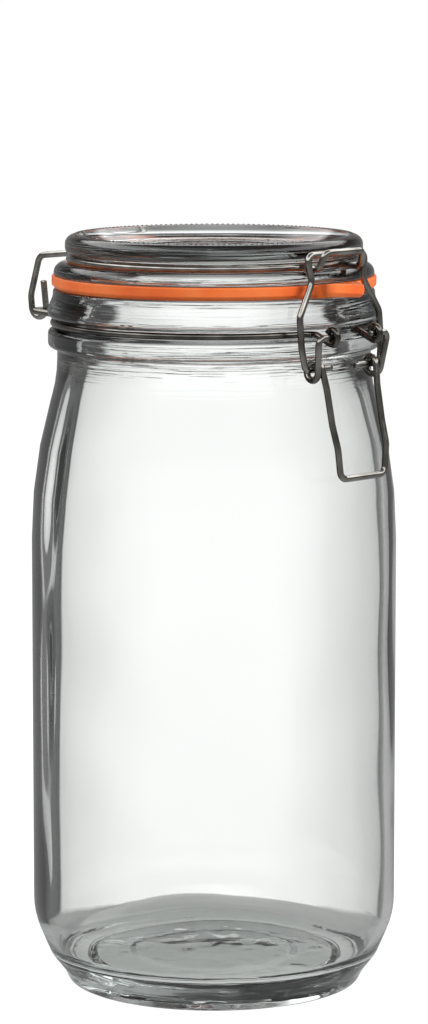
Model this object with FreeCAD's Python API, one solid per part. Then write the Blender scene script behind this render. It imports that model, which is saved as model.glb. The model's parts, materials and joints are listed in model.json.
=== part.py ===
import FreeCAD, Part
import math
import os

# Clip-top preserving jar: a glass jar and lid, a rubber seal between them, and four bent wires.
# The origin is on the floor under the jar's axis. +Z is up, the latch is at -Y, the hinge at +Y.
# All sizes are in millimetres. "Out" means away from the jar's axis.

# ---- glass jar -------------------------------------------------------------------------------
JAR_HEIGHT = 215.4          # floor to the top of the rim
BODY_RADIUS = 56.1
BODY_WALL = 3.2
FOOT_IN = 11.1              # foot's outer edge, in from the body's radius
FOOT_ROUND = 2.0
FOOT_WIDTH = 5.5            # from that edge to where the hollow base begins
FOOT_TOP_IN = 9.3           # top of the foot's band, in from the body's radius
FOOT_HEIGHT = 3.7
HEEL_KNEE_IN = 5.1          # where the heel turns from sloping to steep
HEEL_KNEE_HEIGHT = 9.1
HEEL_KNEE_ROUND = 8.0
HEEL_HEIGHT = 21.2          # where the steep heel would meet the straight wall
HEEL_ROUND = 23.5           # curve that rounds off that corner
INNER_HEEL_ROUND = 20.0
FLOOR_ROUND = 6.0           # inside corner round the jar's floor
BASE_THICKNESS = 4.8
PUNT_HEIGHT = 5.2           # hollow under the middle of the base
PUNT_RADIUS = 24.0          # raised round step in the middle of the base
PUNT_STEP = 1.2             # its height, over a slope as wide as the next size
PUNT_SLOPE = 2.0
NECK_RADIUS = 48.0
NECK_WALL = 6.2
SHOULDER_BELOW_RIM = 55.1   # corner that the long shoulder curve rounds off
SHOULDER_SETBACK = 21.8     # from that corner to either end of its curve
NECK_CORNER_BELOW_RIM = 27.2    # corner that the hollow curve under the neck rounds off
NECK_SETBACK = 6.2
INNER_NECK_UP = 10.4        # the same corner inside the jar, over the one outside
BEAD_OUT = 2.8              # ring under the neck wire
BEAD_HEIGHT = 6.8           # with its slope
BEAD_SLOPE = 1.0            # height of the slope under it
RIM_OUT = 2.9               # ring over the neck wire
RIM_BULGE_HEIGHT = 2.0
RIM_SLOPE = 0.9             # height of the slope from the groove to the bulge
RIM_STEP = 4.2              # height of the slope from the bulge to the top band
RIM_LIP_OUT = 1.2           # the rim's top band

# ---- wire ------------------------------------------------------------------------------------
WIRE = 2.0                  # diameter of every wire
GROOVE_BELOW_RIM = 10.5     # middle of the neck wire's groove
GROOVE_SPARE = 0.5          # groove's height over the wire's
SNUG = 0.1                  # radial clearance where a wire turns on or lies round a part
CORNER = 2.2                # tight corner of a wire, to its middle line

# ---- rubber seal and glass lid ----------------------------------------------------------------
SEAL_THICKNESS = 3.9
SEAL_OUT = 1.6              # seal's edge over the neck's radius
SEAL_GAP = 0.05             # above and below the seal
TAB_OUT = 6.2               # pull tab past the seal's edge
TAB_HALF_WIDTH = 8.0
TAB_DROOP = 1.0
TAB_CORNER = 2.6            # rounded corners of the tab's end, in plan
SEAL_EDGE = 0.35            # soft outer edges
SEAL_OVER_PLUG = 0.5        # seal's inner edge, out from the lid's centring ring
LID_DISC_OUT = 1.0          # lower disc's edge over the neck's radius
LID_DISC_HEIGHT = 3.9
LID_DISC_ROUND = 3.2
WAIST_IN = 4.9              # waist's radius under the neck's
FLANGE_IN = 2.5             # flange's radius under the neck's
FLANGE_HEIGHT = 5.85
LID_GLASS = 5.6             # thickness of the lid's middle
PLUG_DEPTH = 5.5            # ring under the lid that centres it in the mouth
PLUG_CLEARANCE = 1.0
PLUG_WALL = 2.6
DISH_RADIUS = 29.0          # flat middle of the dished top
DISH_DEPTH = 4.7
FLANGE_LAND = 4.2           # flat ring on top of the flange, with its rounded edge
DISH_SLOPE = 6.5            # from the flat middle to the foot of the dish's wall

# ---- latch -----------------------------------------------------------------------------------
EYE_OUT = 9.5               # lever's pivot, out from the neck's radius
EYE_X = 9.3
EYE_TURN = 262.0            # degrees of wire round the lever's tip
PIN_IN = 4.2                # bail's pins, inward of the lever's pivot
PIN_DOWN = 9.6              # and below it
BAR_OVER_SEAT = 4.1         # bail's bar over the wire it is pulled down to
BAR_OUT = 2.3               # bail's bar, out from the neck's radius
BAIL_LEG_X = 17.45          # legs where they clear the lever
BAIL_WAIST_X = 11.1
BAIL_TOP_X = 12.9
BAIL_PIN_X = 16.4           # corner where a leg turns in to its pin
BAIL_TIP_X = 5.2
BAIL_WAIST_DOWN = 7.8       # waist, under the bar
BAIL_FLARE_DOWN = 17.9      # where the legs are full width, under the bar
BAIL_FLARE_UP = 6.3         # and over the pins
LIP_X = 9.2                 # half of the catch lip's width at its foot
LIP_TOP_X = 8.2
LIP_FOOT_OUT = 3.9          # from the neck's radius
LIP_TOP_OUT = 5.6
LIP_HEIGHT = 4.8
COIL_SPARE = 0.65           # coil's inside over the pin's radius
COIL_PITCH = 2.1            # one turn along the pin
COIL_SEGMENTS = 12
COIL_RUN = 6.0              # long arm's last run, in line with the coil
LEVER_ARM_X = 15.2          # corner beside the eye
LEVER_TIP_X = 7.0
LEVER_HALF_WIDTH = 10.95    # long arms
LEVER_LENGTH = 41.9         # pivot to the middle of the bottom bar
LEVER_KNEE_UP = (9.0, 16.0)     # two bends of the long arms, over the bottom bar
LEVER_KNEE_GAP = (8.7, 8.4)     # from the jar's shoulder to the middle of the wire there
LEVER_BAR_GAP = 7.3             # room for a fingertip behind the bottom bar
LEVER_BAR_ROUND = 2.6
LEVER_KNEE_ROUNDS = (6.0, 10.0)
LEVER_TOP_ROUND = 12.0          # where the long arm runs into its coil

# ---- hinge -----------------------------------------------------------------------------------
HINGE_OUT = 13.8            # hinge bar, out from the neck's radius
HINGE_UP = 0.6              # hinge bar over the neck wire's ring
HINGE_ARM_X = 18.2          # neck wire's arms
HOOK_X = 15.0               # lid wire's hooks
HOOK_RADIUS = 3.2
HOOK_TAIL = 8.1
HOOK_TAIL_LEAN = 7.5        # degrees, outward
HOOK_KNEE_IN = 0.4          # lid wire's bend down, inward of the hinge bar
HOOK_KNEE_DOWN = 1.7        # and under its ring
HOOK_KNEE_ROUND = 3.4
HOOK_LEG_OUT = 0.4          # foot of its leg, past the hook's outer side
HOOK_LEG_UP = 3.4           # and over the hook's middle

RING_BEND = 2.5             # where a ring turns out into an arm
ARM_FOOT = 2.0              # straight arm past that bend, behind
EYE_ARM_FOOT = 0.9          # and in front

# ---- places worked out from the sizes above ----------------------------------------------------
SHOULDER_Z = JAR_HEIGHT - SHOULDER_BELOW_RIM
NECK_CORNER_Z = JAR_HEIGHT - NECK_CORNER_BELOW_RIM
INNER_NECK_Z = NECK_CORNER_Z + INNER_NECK_UP
SHOULDER_SLOPE = (BODY_RADIUS - NECK_RADIUS) / (NECK_CORNER_Z - SHOULDER_Z)
GROOVE_Z = JAR_HEIGHT - GROOVE_BELOW_RIM
GROOVE_TOP = GROOVE_Z + (WIRE + GROOVE_SPARE) / 2
GROOVE_BOTTOM = GROOVE_Z - (WIRE + GROOVE_SPARE) / 2
NECK_RING_RADIUS = NECK_RADIUS + SNUG + WIRE / 2
MOUTH_RADIUS = NECK_RADIUS - NECK_WALL
SEAL_BOTTOM = JAR_HEIGHT + SEAL_GAP
SEAL_TOP = SEAL_BOTTOM + SEAL_THICKNESS
LID_BOTTOM = SEAL_TOP + SEAL_GAP
DISC_TOP = LID_BOTTOM + LID_DISC_HEIGHT
WAIST_RADIUS = NECK_RADIUS - WAIST_IN
FLANGE_BOTTOM = DISC_TOP + WIRE + GROOVE_SPARE
FLANGE_TOP = FLANGE_BOTTOM + FLANGE_HEIGHT
LID_RING_RADIUS = WAIST_RADIUS + SNUG + WIRE / 2
LID_RING_Z = DISC_TOP + SNUG + WIRE / 2
EYE = (NECK_RADIUS + EYE_OUT, GROOVE_Z - 0.3)
PIN = (EYE[0] - PIN_IN, EYE[1] - PIN_DOWN)
BAR = (NECK_RADIUS + BAR_OUT, LID_RING_Z + BAR_OVER_SEAT)
HINGE = (NECK_RADIUS + HINGE_OUT, GROOVE_Z + HINGE_UP)


def at_front(x, out, z):
    """A point on the latch's side, given by its distance out from the axis along -Y."""
    return FreeCAD.Vector(x, -out, z)


def line(start, end):
    return Part.LineSegment(start, end).toShape()


def rounded_edges(corners):
    """Straight runs between corners, each inner one rounded by a tangent arc of its radius."""
    edges = []
    start = corners[0][0]
    for (before, _), (corner, radius), (after, _) in zip(corners, corners[1:], corners[2:]):
        if radius == 0:
            edges.append(line(start, corner))
            start = corner
            continue
        to_before = (before - corner).normalize()
        to_after = (after - corner).normalize()
        half_angle = to_before.getAngle(to_after) / 2
        setback = radius / math.tan(half_angle)
        first = corner + to_before * setback
        last = corner + to_after * setback
        inward = (to_before + to_after).normalize()
        middle = corner + inward * (radius / math.sin(half_angle) - radius)
        edges.append(line(start, first))
        edges.append(Part.Arc(first, middle, last).toShape())
        start = last
    edges.append(line(start, corners[-1][0]))
    return edges


def turned(outline):
    """A solid of revolution about the jar's axis, from a closed outline of (radius, z, round)."""
    corners = [(FreeCAD.Vector(radius, 0, z), rounding) for radius, z, rounding in outline]
    edges = rounded_edges(corners + [corners[0]])
    face = Part.Face(Part.Wire(edges))
    return face.revolve(FreeCAD.Vector(0, 0, 0), FreeCAD.Vector(0, 0, 1), 360)


def bent_wire(half_path):
    """A round wire along a path and its mirror image, which meet at right angles to x = 0."""
    other_half = [edge.mirror(FreeCAD.Vector(0, 0, 0), FreeCAD.Vector(1, 0, 0)) for edge in half_path]
    path = Part.Wire(Part.__sortEdges__(list(reversed(other_half)) + half_path))
    first = path.OrderedEdges[0]
    start = path.OrderedVertexes[0].Point
    direction = first.tangentAt(first.FirstParameter)
    section = Part.Wire([Part.makeCircle(WIRE / 2, start, direction)])
    solid = path.makePipeShell([section], True, False)
    expected = path.Length * math.pi * WIRE**2 / 4
    print("wire length %.1f, volume over section times length %.4f" % (path.Length, solid.Volume / expected))
    return solid


def ring_with_arms(ring_radius, z, rear_x, front_x):
    """Half a ring that turns outward into an arm at the rear and at the front: its edges and arm ends."""
    ends = []
    bends = []
    for arm_x, side in ((rear_x, 1), (front_x, -1)):
        centre_x = arm_x + RING_BEND
        reach = ring_radius + RING_BEND
        centre = FreeCAD.Vector(centre_x, side * math.sqrt(reach**2 - centre_x**2), 0)
        on_ring = centre * (ring_radius / reach)
        on_arm = FreeCAD.Vector(arm_x, centre.y, 0)
        inward = ((on_ring - centre) + (on_arm - centre)).normalize()
        lift = FreeCAD.Vector(0, 0, z)
        middle = centre + inward * RING_BEND
        bends.append(Part.Arc(on_arm + lift, middle + lift, on_ring + lift).toShape())
        ends.append((on_ring + lift, on_arm + lift))
    (rear_ring, rear_arm), (front_ring, front_arm) = ends
    ring = Part.Arc(rear_ring, FreeCAD.Vector(ring_radius, 0, z), front_ring).toShape()
    return [bends[0], ring, bends[1]], rear_arm, front_arm


def tangent_angle(centre, radius, target, side):
    """Angle on a circle where a line from the target touches it, on the given side, in radians."""
    out, up = target[0] - centre[0], target[1] - centre[1]
    return math.atan2(up, out) + side * math.acos(radius / math.hypot(out, up))


def shoulder_radius(z):
    """Outside radius of the jar's glass at a height on its body, shoulder curve or shoulder slope."""
    half_turn = math.atan(SHOULDER_SLOPE) / 2
    curve = SHOULDER_SETBACK / math.tan(half_turn)
    rise = z - (SHOULDER_Z - SHOULDER_SETBACK)
    if rise <= 0:
        return BODY_RADIUS
    if rise <= curve * math.sin(2 * half_turn):
        return BODY_RADIUS - curve + math.sqrt(curve**2 - rise**2)
    return BODY_RADIUS - (z - SHOULDER_Z) * SHOULDER_SLOPE


def make_jar():
    """One piece of glass: foot, heel, straight body, long shoulder, neck with two rings, open mouth."""
    half_turn = math.atan(SHOULDER_SLOPE) / 2
    shoulder_curve = SHOULDER_SETBACK / math.tan(half_turn)
    neck_curve = NECK_SETBACK / math.tan(half_turn)
    inner_radius = BODY_RADIUS - BODY_WALL
    inner_slope = (inner_radius - MOUTH_RADIUS) / (INNER_NECK_Z - SHOULDER_Z)
    inner_half_turn = math.atan(inner_slope) / 2
    bead_bottom = GROOVE_BOTTOM - BEAD_HEIGHT
    bulge = GROOVE_TOP + RIM_SLOPE
    floor_z = PUNT_HEIGHT + BASE_THICKNESS
    foot_radius = BODY_RADIUS - FOOT_IN
    hollow_radius = foot_radius - FOOT_WIDTH
    heel_slope = HEEL_KNEE_IN / (HEEL_HEIGHT - HEEL_KNEE_HEIGHT)
    inner_heel_radius = inner_radius - heel_slope * (HEEL_HEIGHT - floor_z)
    outline = [
        (0, PUNT_HEIGHT, 0),
        (PUNT_RADIUS, PUNT_HEIGHT - 0.6, 1.0),
        (PUNT_RADIUS + PUNT_SLOPE, PUNT_HEIGHT - 0.6 - PUNT_STEP, 1.0),
        (hollow_radius - 2.5, PUNT_HEIGHT - 2.4, 1.0),
        (hollow_radius, 0, 0.8),
        (foot_radius, 0, FOOT_ROUND),
        (BODY_RADIUS - FOOT_TOP_IN, FOOT_HEIGHT, 2.0),
        (BODY_RADIUS - HEEL_KNEE_IN, HEEL_KNEE_HEIGHT, HEEL_KNEE_ROUND),
        (BODY_RADIUS, HEEL_HEIGHT, HEEL_ROUND),
        (BODY_RADIUS, SHOULDER_Z, shoulder_curve),
        (NECK_RADIUS, NECK_CORNER_Z, neck_curve),
        (NECK_RADIUS, bead_bottom, 0.8),
        (NECK_RADIUS + BEAD_OUT, bead_bottom + BEAD_SLOPE, 1.6),
        (NECK_RADIUS + BEAD_OUT, GROOVE_BOTTOM - 1.0, 1.4),
        (NECK_RADIUS, GROOVE_BOTTOM, 0.4),
        (NECK_RADIUS, GROOVE_TOP, 0.4),
        (NECK_RADIUS + RIM_OUT, bulge, 1.3),
        (NECK_RADIUS + RIM_OUT, bulge + RIM_BULGE_HEIGHT, 5.0),
        (NECK_RADIUS + RIM_LIP_OUT, bulge + RIM_BULGE_HEIGHT + RIM_STEP, 5.0),
        (NECK_RADIUS + RIM_LIP_OUT, JAR_HEIGHT, 1.0),
        (MOUTH_RADIUS, JAR_HEIGHT, 1.5),
        (MOUTH_RADIUS, INNER_NECK_Z, NECK_SETBACK / math.tan(inner_half_turn)),
        (inner_radius, SHOULDER_Z, SHOULDER_SETBACK / math.tan(inner_half_turn)),
        (inner_radius, HEEL_HEIGHT, INNER_HEEL_ROUND),
        (inner_heel_radius, floor_z, FLOOR_ROUND),
        (0, floor_z, 0),
    ]
    return turned(outline)


def make_lid():
    """One piece of glass: disc on the seal, waist for the lid wire, thick flange and a dished top."""
    disc_radius = NECK_RADIUS + LID_DISC_OUT
    flange_radius = NECK_RADIUS - FLANGE_IN
    plug_radius = MOUTH_RADIUS - PLUG_CLEARANCE
    dish_z = FLANGE_TOP - DISH_DEPTH
    underside = dish_z - LID_GLASS
    flange_round = FLANGE_HEIGHT / 2 - 0.05
    outline = [
        (0, underside, 0),
        (plug_radius - PLUG_WALL - 1.0, underside, 2.5),
        (plug_radius - PLUG_WALL, LID_BOTTOM - PLUG_DEPTH, 0.9),
        (plug_radius, LID_BOTTOM - PLUG_DEPTH, 0.9),
        (plug_radius, LID_BOTTOM, 0.4),
        (disc_radius, LID_BOTTOM, 0.6),
        (disc_radius, DISC_TOP, LID_DISC_ROUND),
        (WAIST_RADIUS, DISC_TOP, 0.3),
        (WAIST_RADIUS, FLANGE_BOTTOM, 0.3),
        (flange_radius, FLANGE_BOTTOM, min(flange_round, flange_radius - WAIST_RADIUS - 0.4)),
        (flange_radius, FLANGE_TOP, flange_round),
        (flange_radius - FLANGE_LAND, FLANGE_TOP, 1.2),
        (DISH_RADIUS + DISH_SLOPE, dish_z + 0.9, 3.0),
        (DISH_RADIUS, dish_z + 0.5, 0.6),
        (DISH_RADIUS - 0.7, dish_z, 0.6),
        (0, dish_z, 0),
    ]
    return turned(outline)


def make_gasket():
    """Flat rubber ring with a pull tab at the front, whose end droops a little."""
    inner = MOUTH_RADIUS - PLUG_CLEARANCE + SEAL_OVER_PLUG
    outer = NECK_RADIUS + SEAL_OUT
    ring = turned([
        (inner, SEAL_BOTTOM, 0),
        (outer, SEAL_BOTTOM, SEAL_EDGE),
        (outer - 0.2, SEAL_TOP, SEAL_EDGE),
        (inner, SEAL_TOP, 0),
    ])
    root = outer - 3.0
    knee = outer + 0.6
    end = outer + TAB_OUT
    side = [
        (at_front(0, root, SEAL_BOTTOM), 0),
        (at_front(0, knee, SEAL_BOTTOM), 8.0),
        (at_front(0, end, SEAL_BOTTOM - TAB_DROOP), 0),
        (at_front(0, end + 0.3, SEAL_TOP - TAB_DROOP), 0),
        (at_front(0, knee, SEAL_TOP), 8.0),
        (at_front(0, root, SEAL_TOP), 0),
    ]
    profile = Part.Face(Part.Wire(rounded_edges(side + [side[0]])))
    profile.translate(FreeCAD.Vector(-TAB_HALF_WIDTH, 0, 0))
    tongue = profile.extrude(FreeCAD.Vector(2 * TAB_HALF_WIDTH, 0, 0))
    depth = SEAL_BOTTOM - 2 * TAB_DROOP
    plan = [
        (at_front(0, root, depth), 0),
        (at_front(TAB_HALF_WIDTH, root, depth), 0),
        (at_front(TAB_HALF_WIDTH, end, depth), TAB_CORNER),
        (at_front(-TAB_HALF_WIDTH, end, depth), TAB_CORNER),
        (at_front(-TAB_HALF_WIDTH, root, depth), 0),
    ]
    outline = Part.Face(Part.Wire(rounded_edges(plan + [plan[0]])))
    stamp = outline.extrude(FreeCAD.Vector(0, 0, 4 * TAB_DROOP + SEAL_THICKNESS))
    return ring.fuse(tongue.common(stamp)).removeSplitter()


def make_neck_wire():
    """Ring in the jar's groove, drawn out into the hinge bar behind and two open eyes in front."""
    ring, rear_arm, front_arm = ring_with_arms(NECK_RING_RADIUS, GROOVE_Z, HINGE_ARM_X, EYE_X)
    hinge_out, hinge_z = HINGE
    rear = rounded_edges([
        (FreeCAD.Vector(0, hinge_out, hinge_z), 0),
        (FreeCAD.Vector(HINGE_ARM_X, hinge_out, hinge_z), CORNER),
        (FreeCAD.Vector(HINGE_ARM_X, rear_arm.y + ARM_FOOT, GROOVE_Z), 6.0),
        (rear_arm, 0),
    ])
    eye_out, eye_z = EYE
    eye_radius = WIRE + SNUG
    knee = (-front_arm.y + EYE_ARM_FOOT, GROOVE_Z)
    touch = tangent_angle(EYE, eye_radius, knee, 1)

    def on_eye(turn):
        angle = touch + math.radians(turn)
        return at_front(EYE_X, eye_out + eye_radius * math.cos(angle), eye_z + eye_radius * math.sin(angle))

    front = rounded_edges([(front_arm, 0), (at_front(EYE_X, *knee), 3.0), (on_eye(0), 0)])
    curl = [
        Part.Arc(on_eye(0), on_eye(EYE_TURN / 4), on_eye(EYE_TURN / 2)).toShape(),
        Part.Arc(on_eye(EYE_TURN / 2), on_eye(EYE_TURN * 3 / 4), on_eye(EYE_TURN)).toShape(),
    ]
    return bent_wire(rear + ring + front + curl)


def make_lid_wire():
    """Ring in the lid's waist, bent up in front into the catch lip and down behind into two hooks."""
    ring, rear_arm, front_arm = ring_with_arms(LID_RING_RADIUS, LID_RING_Z, HOOK_X, LIP_X)
    lip_z = LID_RING_Z + LIP_HEIGHT
    front = rounded_edges([
        (at_front(0, NECK_RADIUS + LIP_TOP_OUT, lip_z), 0),
        (at_front(LIP_TOP_X, NECK_RADIUS + LIP_TOP_OUT, lip_z), CORNER),
        (at_front(LIP_X, NECK_RADIUS + LIP_FOOT_OUT, LID_RING_Z), 2.0),
        (front_arm, 0),
    ])
    hinge_out, hinge_z = HINGE
    hook_z = hinge_z - WIRE - SNUG + HOOK_RADIUS
    leg = (hinge_out + HOOK_RADIUS + HOOK_LEG_OUT, hook_z + HOOK_LEG_UP)
    touch = tangent_angle((hinge_out, hook_z), HOOK_RADIUS, leg, -1)

    def on_hook(angle):
        out = hinge_out + HOOK_RADIUS * math.cos(angle)
        return FreeCAD.Vector(HOOK_X, out, hook_z + HOOK_RADIUS * math.sin(angle))

    tail_lean = math.radians(HOOK_TAIL_LEAN)
    leave = -math.pi - tail_lean
    tail_start = on_hook(leave)
    tail_end = tail_start + FreeCAD.Vector(0, math.sin(tail_lean), math.cos(tail_lean)) * HOOK_TAIL
    rear = rounded_edges([
        (rear_arm, 0),
        (FreeCAD.Vector(HOOK_X, rear_arm.y + ARM_FOOT, LID_RING_Z), 6.0),
        (FreeCAD.Vector(HOOK_X, hinge_out - HOOK_KNEE_IN, LID_RING_Z - HOOK_KNEE_DOWN), HOOK_KNEE_ROUND),
        (FreeCAD.Vector(HOOK_X, *leg), 6.0),
        (on_hook(touch), 0),
    ])
    hook = [
        Part.Arc(on_hook(touch), on_hook((touch + leave) / 2), tail_start).toShape(),
        line(tail_start, tail_end),
    ]
    return bent_wire(front + ring + rear + hook)


def make_bail():
    """Loop that the lever pulls down: bar under the lip, flared legs and two pins turned inward."""
    def on_leg(x, z):
        share = (BAR[1] - z) / (BAR[1] - PIN[1])
        return at_front(x, BAR[0] + share * (PIN[0] - BAR[0]), z)

    return bent_wire(rounded_edges([
        (at_front(0, *BAR), 0),
        (at_front(BAIL_TOP_X, *BAR), CORNER),
        (on_leg(BAIL_WAIST_X, BAR[1] - BAIL_WAIST_DOWN), 4.0),
        (on_leg(BAIL_LEG_X, BAR[1] - BAIL_FLARE_DOWN), 4.0),
        (on_leg(BAIL_LEG_X, PIN[1] + BAIL_FLARE_UP), 6.0),
        (at_front(BAIL_PIN_X, *PIN), 1.6),
        (at_front(BAIL_TIP_X, *PIN), 0),
    ]))


def make_lever():
    """Handle loop: bottom bar, long arms, one coil round each pin and two tips turned into the eyes."""
    coil_radius = WIRE + COIL_SPARE
    coil_centre = (PIN[0], PIN[1] - COIL_SPARE + SNUG)
    bottom_z = EYE[1] - LEVER_LENGTH
    bar_out = shoulder_radius(bottom_z) + LEVER_BAR_GAP
    low_knee, knee = [
        (shoulder_radius(bottom_z + up) + gap, bottom_z + up) for up, gap in zip(LEVER_KNEE_UP, LEVER_KNEE_GAP)
    ]
    start = tangent_angle(coil_centre, coil_radius, knee, 1)
    end = tangent_angle(coil_centre, coil_radius, EYE, -1) + 2 * math.pi
    sweep = end - start
    lean = COIL_PITCH / (coil_radius * 2 * math.pi)
    short_arm = math.sqrt((EYE[0] - coil_centre[0])**2 + (EYE[1] - coil_centre[1])**2 - coil_radius**2)
    end_x = LEVER_ARM_X - lean * short_arm

    def on_coil(share):
        angle = start + share * sweep
        x = end_x - lean * coil_radius * sweep * (1 - share)
        out = coil_centre[0] + coil_radius * math.cos(angle)
        return at_front(x, out, coil_centre[1] + coil_radius * math.sin(angle))

    leave = FreeCAD.Vector(-lean, -math.sin(start), -math.cos(start))
    bottom = rounded_edges([
        (at_front(0, bar_out, bottom_z), 0),
        (at_front(LEVER_HALF_WIDTH - 1.3, bar_out, bottom_z), LEVER_BAR_ROUND),
        (at_front(LEVER_HALF_WIDTH - 0.3, *low_knee), LEVER_KNEE_ROUNDS[0]),
        (at_front(LEVER_HALF_WIDTH, *knee), LEVER_KNEE_ROUNDS[1]),
        (on_coil(0) + leave * COIL_RUN, LEVER_TOP_ROUND),
        (on_coil(0), 0),
    ])
    coil = [
        Part.Arc(on_coil(n / COIL_SEGMENTS), on_coil((n + 0.5) / COIL_SEGMENTS),
                 on_coil((n + 1) / COIL_SEGMENTS)).toShape()
        for n in range(COIL_SEGMENTS)
    ]
    top = rounded_edges([
        (on_coil(1), 0),
        (at_front(LEVER_ARM_X, *EYE), 2.0),
        (at_front(LEVER_TIP_X, *EYE), 0),
    ])
    return bent_wire(bottom + coil + top)


def main():
    nodes = {
        "jar": make_jar(),
        "gasket": make_gasket(),
        "lid": make_lid(),
        "neck_wire": make_neck_wire(),
        "lid_wire": make_lid_wire(),
        "bail": make_bail(),
        "lever": make_lever(),
    }
    os.makedirs("parts", exist_ok=True)
    for name, shape in nodes.items():
        box = shape.optimalBoundingBox(False)
        print("%-10s valid %s solids %d volume %.1f z %.2f..%.2f y %.2f..%.2f x %.2f..%.2f" % (
            name, shape.isValid(), len(shape.Solids), shape.Volume,
            box.ZMin, box.ZMax, box.YMin, box.YMax, box.XMin, box.XMax))
        shape.exportStep("parts/" + name + ".step")


main()
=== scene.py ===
import json
import logging
import math
from dataclasses import dataclass
from enum import Enum
from typing import Callable, ClassVar, Optional, Sequence

import bpy
import numpy as np
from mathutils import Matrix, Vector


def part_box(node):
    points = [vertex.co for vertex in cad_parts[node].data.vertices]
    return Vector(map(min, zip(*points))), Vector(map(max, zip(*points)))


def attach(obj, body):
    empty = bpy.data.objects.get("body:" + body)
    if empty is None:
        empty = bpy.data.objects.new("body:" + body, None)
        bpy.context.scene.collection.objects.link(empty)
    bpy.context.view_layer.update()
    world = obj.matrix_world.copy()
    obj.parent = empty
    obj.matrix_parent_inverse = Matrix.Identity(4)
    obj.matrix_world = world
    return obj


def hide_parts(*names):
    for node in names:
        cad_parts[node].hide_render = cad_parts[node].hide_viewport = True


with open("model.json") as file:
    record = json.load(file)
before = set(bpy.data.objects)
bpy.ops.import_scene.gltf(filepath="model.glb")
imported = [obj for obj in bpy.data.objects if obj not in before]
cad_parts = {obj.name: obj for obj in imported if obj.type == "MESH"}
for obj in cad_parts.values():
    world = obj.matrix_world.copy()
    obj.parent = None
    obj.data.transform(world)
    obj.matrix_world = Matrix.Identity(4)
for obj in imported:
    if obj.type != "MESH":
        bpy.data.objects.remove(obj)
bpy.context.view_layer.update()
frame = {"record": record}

LOG = logging.getLogger("preserving_jar")
Socket = bpy.types.NodeSocket
Shaders = tuple[Socket, Optional[Socket]]       # the surface's and, if any, the inside's
MM = 0.001          # every size below is in millimetres, and a mesh is written in metres


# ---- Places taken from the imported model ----

def node_box(node: str) -> tuple[np.ndarray, np.ndarray]:
    """Lowest and highest corner of a CAD node, in millimetres."""
    low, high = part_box(node)
    return np.array(low) / MM, np.array(high) / MM


def joint_place(name: str) -> np.ndarray:
    """A joint's point on its axis, in millimetres."""
    joints = frame["record"]["behaviour"]["joints"]
    return np.array(next(j["pos_m"] for j in joints if j["name"] == name)) / MM


class Body(Enum):
    """The bodies that pieces ride on."""

    JAR = "jar"
    LID = "lid"
    LEVER = "lever"
    BAIL = "bail"


@dataclass(frozen=True)
class Places:
    """Heights, radii and pivots that the pieces share.

    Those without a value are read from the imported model, and the others are the sizes that its
    boxes don't show.
    """

    rim: float
    body_radius: float
    lid_top: float
    disc_radius: float
    seal_bottom: float
    seal_top: float
    hinge: np.ndarray
    eye: np.ndarray
    pin: np.ndarray
    neck_radius: float = 48.0
    groove_below_rim: float = 10.5
    lid_waist_in: float = 4.9
    lid_disc_height: float = 3.9
    seal_gap: float = 0.05

    @property
    def lid_bottom(self) -> float:
        """Height of the lid's flat ring that rests on the seal."""
        return self.seal_top + self.seal_gap

    @classmethod
    def read(cls) -> "Places":
        """Read every shared place from the frame.

        Returns:
            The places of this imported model.
        """
        jar_high = node_box("jar")[1]
        lid_high = node_box("lid")[1]
        seal_high = node_box("gasket")[1]
        return cls(
            rim=float(jar_high[2]),
            body_radius=float(jar_high[0]),
            lid_top=float(lid_high[2]),
            disc_radius=float(lid_high[0]),
            seal_bottom=float(jar_high[2]) + cls.seal_gap,
            seal_top=float(seal_high[2]),
            hinge=joint_place("lid_hinge"),
            eye=joint_place("lever_swing"),
            pin=joint_place("bail_swing"),
        )


# ---- Curves and surfaces ----

def unit(vector: np.ndarray) -> np.ndarray:
    """The same direction with a length of one."""
    return vector / np.linalg.norm(vector)


def corner_arc(before: np.ndarray, corner: np.ndarray, after: np.ndarray, radius: float,
               step: float) -> np.ndarray:
    """Points of the arc that rounds a corner.

    The arc's centre lies on the line that halves the corner, radius / sin(half angle) from it,
    and a point at angle t is centre + cos(t) a + sin(t) b, where a runs to the arc's first point
    and b runs along the way in.

    Args:
        before: The point before the corner.
        corner: The corner itself.
        after: The point after it.
        radius: The arc's radius.
        step: Degrees of turn between two points, at most.

    Returns:
        The arc's points, from the side of `before` to the side of `after`.
    """
    to_before = unit(before - corner)
    to_after = unit(after - corner)
    half = math.acos(float(np.clip(to_before @ to_after, -1.0, 1.0))) / 2
    turn = math.pi - 2 * half
    centre = corner + unit(to_before + to_after) * (radius / math.sin(half))
    first = corner + to_before * (radius / math.tan(half))
    count = max(3, math.ceil(math.degrees(turn) / step) + 1)
    angle = np.linspace(0.0, turn, count)[:, None]
    return centre + np.cos(angle) * (first - centre) - np.sin(angle) * to_before * radius


def rounded_line(corners: Sequence[tuple], step: float = 5.0) -> np.ndarray:
    """Straight runs between corners, with each inner corner rounded.

    Args:
        corners: Pairs of a point and the radius of its rounding, 0 for a sharp corner.
        step: Degrees of turn between two points of an arc, at most.

    Returns:
        The line's points, without subdivided runs.
    """
    points = [np.array(place, float) for place, _ in corners]
    parts = [points[0][None, :]]
    for before, point, after, (_, radius) in zip(points, points[1:], points[2:], corners[1:]):
        parts.append(corner_arc(before, point, after, radius, step) if radius else point[None, :])
    parts.append(points[-1][None, :])
    return np.concatenate(parts)


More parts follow.
